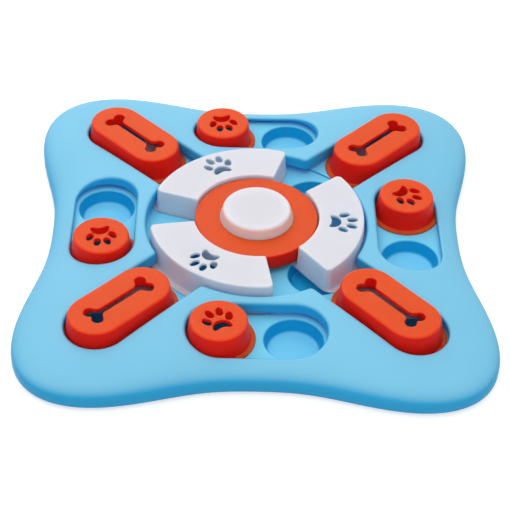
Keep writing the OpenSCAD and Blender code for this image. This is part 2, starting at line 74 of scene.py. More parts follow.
# Scales of the outline: where the dome turns into the edge, where rings of points lie on the dome,
# and how far out they go on its underside.
EDGE_SCALE = 0.93
SPREAD_SCALES = (
    0.918, 0.9, 0.88, 0.855, 0.83, 0.8, 0.77, 0.735, 0.7, 0.66, 0.62, 0.58, 0.54, 0.5, 0.46, 0.42,
)
UNDERSIDE_SCALE = 0.89

SHARP = math.radians(38)  # steepest corner that is shaded smooth
HOLLOW_ROUND = 0.001  # rounding in the hollow of a cap
AIR = 0.00005  # gap between faces that lie against each other
CUT_GLOW = 0.3  # share of the painted glow at the lower edge of a cut-out
LIGHT_REACH = 0.01
FLOOR_GLOW = 0.62
ROOM_LIGHT = 0.42


# ---------- sizes and colours ----------


def length(default, name, description):
    """A length setting in metres."""
    return bpy.props.FloatProperty(
        name=name, description=description, default=default, min=0.0, soft_max=0.4,
        precision=4, subtype="DISTANCE", unit="LENGTH",
    )


def colour(default, name, description):
    """A colour setting."""
    return bpy.props.FloatVectorProperty(
        name=name, description=description, default=default, size=3, min=0.0, max=1.0, subtype="COLOR"
    )


class FeederCoverSizes(bpy.types.PropertyGroup):
    """Sizes of the domed cover and its openings."""

    waist_r: length(0.1345, "Waist radius", "Radius of the toy at the middle of a side")
    corner_r: length(0.1935, "Corner radius", "Radius of the toy at the tip of a corner")
    fullness: length(0.0046, "Corner fullness", "How full the corners and the waists are drawn")
    top_z: length(0.0255, "Top height", "Height of the cover's flat middle")
    rim_z: length(0.0015, "Rim height", "Height of the cover's bottom edge")
    dome_drop: length(0.0189, "Dome drop", "Fall of the dome from its middle to its edge")
    dome_power: bpy.props.FloatProperty(
        name="Dome power", description="Squareness of the dome's curve", default=2.8, min=2.0, max=4.0
    )
    wall: length(0.0026, "Wall", "Thickness of the cover's wall")
    rim_round: length(0.0024, "Rim rounding", "Rounding of the cover's bottom edge")
    rim_w: length(0.0034, "Rim width", "Width of the cover's bottom edge")
    edge_round: length(0.0024, "Opening rounding", "Rounding of the edge round every opening")
    lip_t: length(0.0024, "Lip thickness", "Thickness of the lip that hangs round every opening")
    lip_z: length(0.0163, "Lip height", "Height of the lip's bottom edge")
    opening_r: length(0.0724, "Opening radius", "Radius of the opening in the middle")
    nose_round: length(0.0034, "Nose rounding", "Rounding of the corners between opening and channels")
    channel_half_w: length(0.0206, "Channel half width", "Half the width of a diagonal channel")
    channel_end: length(0.1373, "Channel end", "Distance from the middle to a channel's round end")
    slot_r: length(0.1, "Slot distance", "Distance from the middle to the middle of a side slot")
    slot_half: length(0.0229, "Slot half length", "Half the distance between a slot's two round ends")
    slot_end_r: length(0.0205, "Slot end radius", "Radius of a slot's round end")


class FeederSliderSizes(bpy.types.PropertyGroup):
    """Sizes of the round and the oblong sliders."""

    slide_z: length(0.01305, "Underside", "Height of the sliders' underside")
    flange_t: length(0.0011, "Flange thickness", "Thickness of the sliders' flanges")
    wall: length(0.0024, "Wall", "Thickness of a slider's side and top")
    draft: length(0.0016, "Taper", "Taper of a slider's side from foot to top")
    top_round: length(0.0019, "Top rounding", "Rounding of a slider's top edge")
    foot_round: length(0.0012, "Foot rounding", "Rounding between a slider's side and flange")
    cut_round: length(0.0005, "Cut-out rounding", "Rounding of the edge of the cut-outs")
    paw_foot_r: length(0.0197, "Round foot radius", "Radius of a round slider above its flange")
    paw_flange: length(0.0033, "Round flange", "Width of a round slider's flange")
    paw_top_z: length(0.0291, "Round top", "Height of a round slider's top")
    paw_at: length(0.0233, "Round stop", "Where a round slider rests, from the middle of its slot")
    bone_foot_r: length(0.0194, "Oblong foot radius", "Radius of an oblong slider's ends")
    bone_flange: length(0.0035, "Oblong flange", "Width of an oblong slider's flange")
    bone_top_z: length(0.0299, "Oblong top", "Height of an oblong slider's top")
    bone_half: length(0.0185, "Oblong half length", "Half the distance between an oblong slider's ends")
    bone_at: length(0.1194, "Oblong stop", "Distance from the middle to an oblong slider at rest")
    loose_slide: length(0.0032, "Loose slide", "How far the front right slider lies in from its stop")
    loose_turn: bpy.props.FloatProperty(
        name="Loose turn", description="Turn of the front right slider in its play",
        default=math.radians(-2.4724), subtype="ANGLE", unit="ROTATION",
    )
    toe_ring: length(0.0074, "Toe ring", "Distance of the toes from the middle of the paw")
    toe_long: length(0.0036, "Toe length", "Half the length of a toe")
    toe_wide: length(0.0023, "Toe width", "Half the width of a toe")
    pad_wide: length(0.0061, "Pad width", "Half the width of the pad")
    pad_high: length(0.0062, "Pad height", "Height of the pad above its widest place")
    pad_low: length(0.0034, "Pad lobes", "Depth of the two lobes behind the pad")
    pad_at: length(0.0067, "Pad place", "Place of the pad behind the middle of the paw")
    lobe_x: length(0.0206, "Lobe distance", "Distance from the middle of the bone to its lobes")
    lobe_y: length(0.0039, "Lobe spread", "Distance of the lobes from the bone's long axis")
    lobe_r: length(0.0037, "Lobe radius", "Radius of the bone's lobes")
    shaft: length(0.0021, "Shaft half width", "Half the width of the bone's shaft")


class FeederHubSizes(bpy.types.PropertyGroup):
    """Sizes of the hub and of the fan covers round it."""

    fan_r: length(0.0715, "Fan radius", "Outer radius of a fan cover")
    fan_in_r: length(0.0408, "Fan inner radius", "Inner radius of a fan cover")
    fan_half: bpy.props.FloatProperty(
        name="Fan half angle", description="Half the angle that a fan cover spans",
        default=math.radians(45), subtype="ANGLE", unit="ROTATION",
    )
    fan_z: length(0.01185, "Fan underside", "Height of the fan covers' underside")
    fan_top_z: length(0.0295, "Fan top", "Height of the fan covers' top")
    fan_wall: length(0.002, "Fan wall", "Thickness of a fan cover's walls")
    fan_draft: length(0.001, "Fan taper", "Taper of a fan cover's outer and straight walls")
    fan_in_share: bpy.props.FloatProperty(
        name="Fan inner share", description="How much of it the wall at the hub is drawn in",
        default=0.25, min=0.0, max=1.0,
    )
    fan_round: length(0.0011, "Fan rounding", "Rounding of a fan cover's top edges")
    fan_flange_t: length(0.001, "Fan flange thickness", "Thickness of a fan cover's flange")
    fan_flange: length(0.0046, "Fan flange", "Width of a fan cover's flange outside")
    fan_flange_in: length(0.005, "Fan flange inside", "Width of a fan cover's flange under the disc")
    fan_flange_side: length(0.0008, "Fan flange sides", "Width of a fan cover's flange at its sides")
    fan_corner: length(0.0044, "Fan corner", "Rounding of a fan cover's outer corners")
    fan_in_corner: length(0.0016, "Fan inner corner", "Rounding of a fan cover's inner corners")
    disc_r: length(0.0402, "Disc radius", "Radius of the hub disc")
    disc_top_z: length(0.0272, "Disc top", "Height of the hub disc's top")
    disc_low_z: length(0.0165, "Disc underside", "Height of the hub disc's lower edge")
    disc_t: length(0.0024, "Disc wall", "Thickness of the hub disc's walls")
    disc_round: length(0.0009, "Disc rounding", "Rounding of the hub disc's top edge")
    pocket_r: length(0.0178, "Pocket radius", "Radius of the pocket that the button snaps into")
    post_r: length(0.00606, "Bore radius", "Radius of the hub disc's bore")
    button_r: length(0.024, "Button radius", "Radius of the button's foot")
    button_h: length(0.0077, "Button height", "Height of the button above the hub disc")
    button_round: length(0.0021, "Button rounding", "Rounding of the button's top edge")
    button_foot: length(0.001, "Button foot", "Width of the flare round the button's foot")
    button_draft: length(0.0007, "Button taper", "Taper of the button's side")


class FeederFastenerSizes(bpy.types.PropertyGroup):
    """Sizes of the screws and the rubber feet."""

    screw_x: length(0.112, "Screw place out", "Place of a cover screw, out from the middle")
    screw_y: length(0.055, "Screw place sideways", "Place of a cover screw, sideways")
    screw_seat_z: length(0.0108, "Screw seat", "Height of the face that the screws' heads seat on")
    screw_r: length(0.00175, "Shank radius", "Radius of a screw's shank")
    head_r: length(0.0034, "Head radius", "Radius of a screw's head")
    head_h: length(0.0022, "Head height", "Height of a screw's head")
    shank: length(0.0078, "Shank length", "Length of a cover screw's shank")
    foot_at: length(0.1673, "Foot place", "Distance from the middle to each rubber foot")
    foot_r: length(0.007, "Foot radius", "Radius of a rubber foot")
    foot_h: length(0.003, "Foot height", "Height of a rubber foot")


class FeederColours(bpy.types.PropertyGroup):
    """Colours of the moulded pieces."""

    sky: colour((0.205, 0.60, 0.845), "Sky blue", "Top of the cover")
    # Painted shade: a deeper, more saturated blue that the shader puts on the cover's steep faces in
    # place of shade.
    sky_painted_shade: colour((0.022, 0.43, 0.80), "Painted shade blue", "Upright walls of the cover")
    tray: colour((0.20, 0.70, 0.96), "Tray blue", "Deck and well floors of the tray")
    # Painted shade: deeper blue on the wells' steep walls in place of shade.
    tray_painted_shade: colour((0.008, 0.375, 0.72), "Tray painted shade", "Upright walls of the wells")
    orange: colour((0.98, 0.096, 0.017), "Orange", "Tops of the sliders and of the hub disc")
    # Painted shade: darker red on the sides of sliders and disc in place of shade.
    orange_painted_shade: colour((0.98, 0.014, 0.006), "Painted shade orange", "Sides of the sliders and of the hub disc")
    # Painted shade: darker blue on the ring wells' floors in place of their shade.
    painted_shade: colour((0.02, 0.46, 0.82), "Ring well painted shade", "Floors of the wells in the ring")
    white: colour((0.80, 0.79, 0.875), "White", "Tops of the fan covers and of the button")
    # Painted shade and painted reflection: a darker, bluish white on the fan covers' sides, standing in
    # for shade and for light from the blue deck.
    fan_wall: colour((0.62, 0.73, 0.85), "Fan painted shade and reflection", "Sides of the fan covers")
    # Painted reflection and shade: a salmon white on the button's side, standing in for light from the
    # orange disc and for shade.
    button_painted_reflection: colour((0.82, 0.68, 0.65), "Button painted reflection", "Side of the button")
    steel: colour((0.56, 0.56, 0.57), "Steel", "Screws and washer")
    rubber: colour((0.03, 0.03, 0.032), "Rubber", "Feet")


class FeederSettings(bpy.types.PropertyGroup):
    """All settings of the toy."""

    cover: bpy.props.PointerProperty(type=FeederCoverSizes)
    slider: bpy.props.PointerProperty(type=FeederSliderSizes)
    hub: bpy.props.PointerProperty(type=FeederHubSizes)
    fastener: bpy.props.PointerProperty(type=FeederFastenerSizes)
    colours: bpy.props.PointerProperty(type=FeederColours)


# ---------- plan curves ----------


def arc(x, y, r, start, stop, steps):
    """Points of an arc about x, y from start to stop, in degrees."""
    angles = np.radians(np.linspace(start, stop, steps + 1))
    return [(x + r * math.cos(a), y + r * math.sin(a)) for a in angles]


def line(a, b, steps):
    """Points between a and b, without its two ends."""
    return [
        (a[0] + (b[0] - a[0]) * i / steps, a[1] + (b[1] - a[1]) * i / steps) for i in range(1, steps)
    ]


def circle(r, count):
    """A circle about the middle."""
    return arc(0, 0, r, 0, 360 * (count - 1) / count, count - 1)


def placed(points, x=0.0, y=0.0, turn=0.0):
    """Points turned by turn degrees about the middle, then moved."""
    c, s = math.cos(math.radians(turn)), math.sin(math.radians(turn))
    return [(x + px * c - py * s, y + px * s + py * c) for px, py in points]


def grown(points, by):
    """A closed curve, given anticlockwise, moved outwards by a small amount."""
    p = np.array(points)
    t = np.roll(p, -1, 0) - np.roll(p, 1, 0)
    t /= np.linalg.norm(t, axis=1)[:, None]
    return [tuple(q) for q in p + by * np.stack([t[:, 1], -t[:, 0]], 1)]


def oblong(half, r, end_steps=32, side_steps=14):
    """A bar with round ends along X."""
    right = arc(half, 0, r, -90, 90, end_steps)
    left = arc(-half, 0, r, 90, 270, end_steps)
    return right + line(right[-1], left[0], side_steps) + left + line(left[-1], right[0], side_steps)


def toy_radius(size, a):
    """Radius of the toy's outline at angle a."""
    swing = (size.corner_r - size.waist_r) / 2
    mean = (size.corner_r + size.waist_r) / 2 - size.fullness
    return mean - swing * np.cos(4 * a) + size.fullness * np.cos(8 * a)


def toy_outline(size, scale=1.0, inset=0.0, count=384):
    """The toy's outline, scaled about the middle and drawn in."""
    a = np.arange(count) * 2 * math.pi / count
    r = toy_radius(size, a) * scale - inset
    return list(zip(r * np.cos(a), r * np.sin(a)))


def centre_opening(size, grow):
    """The round opening together with its four channels, anticlockwise."""
    half, r, fillet = size.channel_half_w, size.opening_r, size.nose_round
    cx = math.sqrt((r + fillet) ** 2 - (half + fillet) ** 2)
    lean = math.degrees(math.atan2(half + fillet, cx))
    points = []
    for turn in DIAGONALS:
        end = arc(size.channel_end, 0, half + grow, -90, 90, 36)
        before = arc(cx, -half - fillet, fillet - grow, 180 - lean, 90, 7)
        after = arc(cx, half + fillet, fillet - grow, -90, lean - 180, 7)
        ring = arc(0, 0, r + grow, lean, 90 - lean, 30)[1:-1]
        side = before + line(before[-1], end[0], 28) + end + line(end[-1], after[0], 28) + after + ring
        points += placed(side, turn=turn)
    return points


def side_slot(size, turn, grow):
    """One side slot, at the side that lies turn degrees from +X."""
    upright = placed(oblong(size.slot_half, size.slot_end_r + grow, 36, 20), x=size.slot_r, turn=90)
    return placed(upright, turn=turn)


def fan_plan(size, out, inside, side, corner, in_corner):
    """A fan cover about +X: its outer, inner and straight edges moved out by the given amounts."""
    r1, r0 = size.fan_r + out, size.fan_in_r - inside
    c1, c0 = size.fan_corner + corner, size.fan_in_corner + in_corner
    half = math.degrees(size.fan_half)
    a1 = half - math.degrees(math.asin((c1 - side) / (r1 - c1)))
    a0 = half - math.degrees(math.asin((c0 - side) / (r0 + c0)))
    x1, x0 = math.radians(a1), math.radians(a0)
    upper = arc(0, 0, r1, 0, a1, 40)
    upper += arc((r1 - c1) * math.cos(x1), (r1 - c1) * math.sin(x1), c1, a1, half + 90, 12)[1:]
    inner = arc((r0 + c0) * math.cos(x0), (r0 + c0) * math.sin(x0), c0, half + 90, a0 + 180, 8)
    upper += line(upper[-1], inner[0], 12) + inner + arc(0, 0, r0, a0, 0, 24)[1:]
    return upper + [(x, -y) for x, y in upper[-2:0:-1]]


def paw_cuts(size, grow, turn, x, y):
    """Four toes and a pad of a paw that points along +X before it is turned and placed."""
    a = np.arange(36) * 2 * math.pi / 36
    toe = list(zip(size.toe_long * np.cos(a), size.toe_wide * np.sin(a) * (1 - 0.14 * np.cos(a))))
    cuts = []
    for spoke, lean in TOES:
        cuts.append(placed(placed(grown(toe, grow), size.toe_ring, 0, lean), turn=spoke))
    b = np.arange(64) * 2 * math.pi / 64
    reach = np.where(b < math.pi, size.pad_high, size.pad_low * np.cos(b) ** 2)
    pad = list(zip(reach * np.sin(b), -size.pad_wide * np.cos(b)))
    cuts.append(placed(grown(pad, grow), -size.pad_at, 0))
    return [placed(cut, x, y, turn) for cut in cuts]


def bone_cut(size, grow, turn, x, y):
    """A bone along X: four lobes, a shaft and the small fillets between them."""
    r, lx, ly, s = size.lobe_r, size.lobe_x, size.lobe_y, size.shaft
    neck, notch = 0.004, 0.0012
    nx = lx - math.sqrt((r + neck) ** 2 - (s + neck - ly) ** 2)
    n_lean = math.degrees(math.atan2(s + neck - ly, nx - lx))
    ex = lx + math.sqrt(max((r + notch) ** 2 - ly ** 2, 1e-10))
    e_lean = math.degrees(math.atan2(ly, ex - lx))
    corner = arc(ex, 0, notch - grow, 180, 180 - e_lean, 6)
    lobe = arc(lx, ly, r + grow, -e_lean, n_lean % 360, 26)[1:-1]
    armpit = arc(nx, s + neck, neck - grow, n_lean % 360 - 180, -90, 6)
    upper = corner + lobe + armpit
    shaft = line(upper[-1], (-upper[-1][0], upper[-1][1]), 24)
    left = [(-px, py) for px, py in upper[::-1]]
    half = upper + shaft + left
    return placed(half + [(px, -py) for px, py in half[-2:0:-1]], x, y, turn)


# ---------- closed skins ----------


def inside(points, loops):
    """Which points lie inside an odd number of the closed loops."""
    x, y = points[:, 0], points[:, 1]
    odd = np.zeros(len(points), bool)
    for loop in loops:
        p = np.array(loop)
        for (x0, y0), (x1, y1) in zip(p, np.roll(p, -1, 0)):
            if y0 != y1:
                odd ^= ((y0 > y) != (y1 > y)) & (x < (x1 - x0) * (y - y0) / (y1 - y0) + x0)
    return odd


class Skin:
    """Points and faces of a closed mesh, built ring by ring, faces pointing outwards."""

    def __init__(self):
        self.points = []
        self.faces = []
        # cavity: points in hollows and how much painted glow each gets
        self.cavity = {}

    def lay(self, points):
        """Adds a ring of points."""
        first = len(self.points)
        self.points += points
        return list(range(first, len(self.points)))

    def ring(self, outline, height):
        """Adds a ring of points at a height, or at a height that depends on x and y."""
        return self.lay([(x, y, height(x, y) if callable(height) else height) for x, y in outline])

    def paint_glow(self, rings, level=1.0):
        """Marks points in a hollow for painted glow, an emission that stands in for light coming
        through the plastic.
        """
        self.cavity.update((i, level) for ring in rings for i in ring)

    def bridge(self, rings):
        """Joins each ring to the next."""
        for a, b in zip(rings, rings[1:]):
            for i in range(len(a)):
                j = (i + 1) % len(a)
                self.faces.append((a[i], a[j], b[j], b[i]))

    def fill(self, outer, holes, spread=(), height=None, up=True):
        """Closes the face between an outer ring and its holes, over points spread in it."""
        loops = [outer] + list(holes)
        numbers = [i for loop in loops for i in loop]
        edges, spans, first = [], [], 0
        for loop in loops:
            edges += [(first + i, first + (i + 1) % len(loop)) for i in range(len(loop))]
            spans.append(slice(first, first + len(loop)))
            first += len(loop)
        for x, y in spread:
            numbers.append(len(self.points))
            self.points.append((x, y, height(x, y)))
        # Faces that look down lie in a hollow and get painted glow.
        if not up:
            self.paint_glow([numbers])
        flat = [Vector(self.points[i][:2]) for i in numbers]
        verts, _, tris, origin, _, _ = delaunay_2d_cdt(flat, edges, [], 0, 1e-9, True)
        p = np.array([v[:] for v in verts])
        t = np.array(tris)
        middle = p[t].mean(1)
        keep = inside(middle, [[point[:] for point in flat[span]] for span in spans])
        for tri in t[keep]:
            a, b, c = p[tri]
            turned = (b[0] - a[0]) * (c[1] - a[1]) - (b[1] - a[1]) * (c[0] - a[0]) > 0
            ids = [numbers[origin[k][0]] for k in tri]
            self.faces.append(tuple(ids if turned == up else ids[::-1]))

    def turned(self, profile, count):
        """Adds a turned body from half-section points. A point on the axis closes the skin there."""
        rings = [self.ring(circle(r, count), z) for r, z in profile if r > 0]
        self.bridge(rings)
        if profile[0][0] > 0 and profile[-1][0] > 0:
            self.bridge([rings[-1], rings[0]])
        for end, ring, up in ((profile[0], rings[0], False), (profile[-1], rings[-1], True)):
            if end[0] <= 0:
                self.points.append((0.0, 0.0, end[1]))
                tip = len(self.points) - 1
                for i in range(count):
                    pair = (ring[i], ring[(i + 1) % count])
                    self.faces.append(pair + (tip,) if up else pair[::-1] + (tip,))
        return self

    def cap(self, outline, outside, cavity, cuts, cut_round, top, under):
        """Adds a hollow cap. outside and cavity are (growth, height) steps of its wall; outline and
        each of cuts give their curve for a growth."""
        wall = [self.ring(outline(g), z) for g, z in outside]
        inner = [self.ring(outline(g), z) for g, z in cavity]
        self.bridge(wall)
        self.bridge(inner)
        self.bridge([inner[-1], wall[0]])
        # The cap's hollow gets painted glow.
        self.paint_glow(inner)
        upper, lower = [], []
        for cut in cuts:
            rings = []
            for a in np.radians(np.linspace(90, 0, 5)):
                grow, drop = cut_round * (1 - math.cos(a)), cut_round * (1 - math.sin(a))
                rings.append(self.ring(cut(grow), top - drop))
            rings.append(self.ring(cut(0.0), under))
            self.bridge(rings)
            upper.append(rings[0])
            lower.append(rings[-1])
        self.fill(wall[-1], upper)
        self.fill(inner[0], lower, up=False)
        # The lower edges of the cut-outs get part of the painted glow.
        self.paint_glow(lower, CUT_GLOW)
        return self


# ---------- finishes ----------


def sockets(tree, way, entries):
    """Adds inputs or outputs to a node tree. Their default values tell what kind they are."""
    kinds = {tuple: "NodeSocketColor", float: "NodeSocketFloat", int: "NodeSocketInt"}
    made = []
    for name, default in entries.items():
        made.append(tree.interface.new_socket(name=name, in_out=way, socket_type=kinds[type(default)]))
        made[-1].default_value = default
    return made


def feed(tree, target, inputs):
    """Sets inputs of a node to values, or links them where a socket is given."""
    for key, value in inputs.items():
        if isinstance(value, bpy.types.NodeSocket):
            tree.links.new(value, target.inputs[key])
        else:
            target.inputs[key].default_value = value


def node(tree, kind, inputs=None, **settings):
    """Adds a node to a tree, with its settings and what feeds its inputs."""
    made = tree.nodes.new(kind)
    for name, value in settings.items():
        setattr(made, name, value)
    feed(tree, made, inputs or {})
    return made


def maths(tree, kind, a, b):
    """Output of a new math node for two numbers or sockets."""
    return node(tree, "ShaderNodeMath", {0: a, 1: b}, operation=kind).outputs[0]


def moulded_group():
    """Shader group: colour, roughness and height of moulded plastic, with painted shade on its steep
    faces and painted glow in its hollows.
    """
    name = "moulded_surface"
    if name in bpy.data.node_groups:
        return bpy.data.node_groups[name]
    g = bpy.data.node_groups.new(name, "ShaderNodeTree")
    black = (0.0, 0.0, 0.0, 1.0)
    sockets(g, "INPUT", {
        "Colour": (0.8, 0.8, 0.8, 1.0), "Painted shade colour": (0.7, 0.7, 0.7, 1.0), "Variation": 0.02,
        "Roughness": 0.4, "Roughness spread": 0.06, "Cloud scale": 18.0, "Grain scale": 1600.0,
        "Painted glow tint": black,
    })
    sockets(g, "OUTPUT", {"Colour": black, "Roughness": 0.0, "Height": 0.0, "Painted hollow glow": black})
    source = node(g, "NodeGroupInput").outputs
    place = node(g, "ShaderNodeTexCoord").outputs
    cloud, grain, flow = (
        node(g, "ShaderNodeTexNoise", {
            "Vector": place["Object"], "Scale": scale, "Detail": detail,
        }).outputs["Fac"]
        for scale, detail in ((source["Cloud scale"], 3), (source["Grain scale"], 4), (70, 2))
    )

    swing = maths(g, "SUBTRACT", cloud, 0.5)
    spread = maths(g, "MULTIPLY", source["Variation"], 4)
    bright = maths(g, "ADD", maths(g, "MULTIPLY", swing, spread), 1)
    # Painted shade: as the object normal tips from up to upright, the colour turns to the painted shade
    # colour, a deeper tone put on steep faces in place of shade.
    facing = node(g, "ShaderNodeSeparateXYZ", {0: place["Normal"]})
    upright = node(g, "ShaderNodeMapRange", {
        "Value": facing.outputs["Z"], "From Min": 0.99, "From Max": 0.35,
    }, interpolation_type="SMOOTHSTEP")
    painted_shade = node(g, "ShaderNodeMix", {
        "Factor": upright.outputs["Result"], "A": source["Colour"], "B": source["Painted shade colour"],
    }, data_type="RGBA")
    tint = node(g, "ShaderNodeHueSaturation", {"Color": painted_shade.outputs["Result"], "Value": bright})

    patch = maths(g, "SUBTRACT", flow, 0.5)
    uneven = maths(g, "MULTIPLY", patch, source["Roughness spread"])
    fine, coarse = maths(g, "MULTIPLY", grain, 0.7), maths(g, "MULTIPLY", flow, 0.3)
    # Painted glow: where the cavity attribute is set, the painted glow tint shines as emission,
    # standing in for light carried through the plastic.
    cavity = node(g, "ShaderNodeAttribute", attribute_name="cavity")
    painted_glow = node(g, "ShaderNodeMix", {
        "Factor": cavity.outputs["Fac"], "A": black, "B": source["Painted glow tint"],
    }, data_type="RGBA")
    node(g, "NodeGroupOutput", {
        "Colour": tint.outputs["Color"], "Roughness": maths(g, "ADD", source["Roughness"], uneven),
        "Height": maths(g, "ADD", fine, coarse), "Painted hollow glow": painted_glow.outputs["Result"],
    })
    return g


def finish(name, rgb, wall, roughness, gloss=0.25, variation=0.02, bump=0.05, metallic=0.0, reach=None,
           painted_glow=None, grain=1600.0):
    """A procedural finish on a Principled shader, fed by the moulded surface group. wall is the painted
    shade colour on steep faces (on the white pieces also painted reflection), reach is how far light
    travels in the plastic, and painted_glow is an emission colour painted in the hollows in place of
    the light that the plastic carries."""
    if name in bpy.data.materials:
        return bpy.data.materials[name]
    m = bpy.data.materials.new(name)
    m.use_nodes = True
    m.diffuse_color = (*rgb, 1)
    tree = m.node_tree
    shader = tree.nodes["Principled BSDF"]
    group = node(tree, "ShaderNodeGroup", {
        "Colour": (*rgb, 1), "Painted shade colour": (*wall, 1), "Variation": variation,
        "Roughness": roughness, "Grain scale": grain,
    }, node_tree=moulded_group())
    relief = node(tree, "ShaderNodeBump", {
        "Strength": bump, "Distance": 0.0002, "Height": group.outputs["Height"],
    })
    feed(tree, shader, {
        "Base Color": group.outputs["Colour"], "Roughness": group.outputs["Roughness"],
        "Normal": relief.outputs["Normal"], "Metallic": metallic, "IOR": 1.46,
        "Specular IOR Level": gloss,
    })
    if reach:
        feed(tree, shader, {
            "Subsurface Weight": 1.0, "Subsurface Radius": reach, "Subsurface Scale": LIGHT_REACH,
        })
    # Painted glow: emission in the hollows in place of light that comes through the plastic.
    if painted_glow:
        feed(tree, group, {"Painted glow tint": (*painted_glow, 1)})
        feed(tree, shader, {"Emission Color": group.outputs["Painted hollow glow"], "Emission Strength": 1.0})
    return m


def finishes():
    """All finishes of the toy."""
    c = bpy.context.scene.feeder.colours
    return {
        # Second colours are painted shade on steep faces; painted_glow colours are painted glow in the
        # hollows.
        "cover": finish("sky_blue_plastic", c.sky, c.sky_painted_shade, 0.44, 0.3, painted_glow=(0.0, 0.04, 0.11)),
        "tray": finish("tray_blue_plastic", c.tray, c.tray_painted_shade, 0.44, 0.12),
        # Painted shade: darker copy of the tray finish for the ring wells.
        "painted_shade": finish("ring_well_blue_painted_darker", c.painted_shade, c.tray_painted_shade, 0.44, 0.12),
        "orange": finish("orange_plastic", c.orange, c.orange_painted_shade, 0.4, 0.1, reach=(0.6, 0.04, 0.02),
                         painted_glow=(0.17, 0.0025, 0.0018)),
        # The fan covers' sides get painted shade and painted reflection.
        "white": finish("white_plastic", c.white, c.fan_wall, 0.4, reach=(0.5, 0.5, 0.5),
                        painted_glow=(0.062, 0.056, 0.07)),
        # Copy of the white finish with painted reflection on the button's side.
        "button": finish("white_plastic_with_painted_reflection", c.white, c.button_painted_reflection, 0.4, reach=(0.5, 0.5, 0.5)),
        "steel": finish("zinc_steel", c.steel, c.steel, 0.3, 0.5, 0.03, 0.1, 1.0, grain=3000.0),
        "rubber": finish("black_rubber", c.rubber, c.rubber, 0.75, 0.5, 0.05, 0.3, grain=900.0),
    }


# ---------- pieces ----------


def add_piece(name, shape, slot, body, *nodes, look=None):
    """Gives a skin or a mesh its finish, lets it ride on a body and stand for CAD nodes."""
    mesh = skin_mesh(name, shape) if isinstance(shape, Skin) else shape
    mesh.materials.clear()
    mesh.materials.append(finishes()[look or slot])
    mesh.shade_smooth()
    mesh.set_sharp_from_angle(angle=SHARP)
    piece = bpy.data.objects.new(name, mesh)
    bpy.context.scene.collection.objects.link(piece)
    weighted = piece.modifiers.new("weighted", "WEIGHTED_NORMAL")
    weighted.keep_sharp = True
    weighted.weight = 80
    piece.data = settled(piece)
    piece.data.name = name
    piece.modifiers.clear()
    bpy.data.meshes.remove(mesh)
    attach(piece, body)
    if nodes:
        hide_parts(*nodes)
    return piece


def settled(holder):
    """The plain mesh that an object's modifiers give."""
    graph = bpy.context.evaluated_depsgraph_get()
    return bpy.data.meshes.new_from_object(
        holder.evaluated_get(graph), preserve_all_data_layers=True, depsgraph=graph
    )


def skin_mesh(name, skin):
    """The mesh of a skin, without stray points."""
    mesh = bpy.data.meshes.new(name)
    mesh.from_pydata(skin.points, [], skin.faces)
    if mesh.validate():
        raise RuntimeError(f"{name} has a broken face")
    # The cavity attribute is the painted glow mask read by the shader.
    if skin.cavity:
        mask = mesh.attributes.new("cavity", "FLOAT", "POINT")
        mask.data.foreach_set("value", [skin.cavity.get(i, 0.0) for i in range(len(skin.points))])
    return mesh


def slider_wall(size, flange, top):
    """Section of a slider from its foot's inner edge up to its top, and its cavity back down."""
    low, over = size.slide_z, size.slide_z + size.flange_t
    edge = size.flange_t * 0.42
    fillet, r, slope, hollow = size.foot_round, size.top_round, size.draft, HOLLOW_ROUND
    outside = [(-size.wall, low), (flange - edge, low)]
    outside += arc(flange - edge, low + edge, edge, -75, 90, 6)
    outside[-1] = (flange - edge, over)
    outside += arc(fillet, over + fillet, fillet, -90, -176, 6)
    outside += [(-slope * k, over + fillet + (top - r - over - fillet) * k) for k in (0.25, 0.5, 0.75)]
    outside += arc(-slope - r, top - r, r, 4, 90, 9)
    within, under = -slope - size.wall - hollow, top - size.wall
    cavity = [(within, under)] + arc(within, under - hollow, hollow, 80, 5, 4)
    cavity.append((-size.wall, over + hollow))
    return outside, cavity


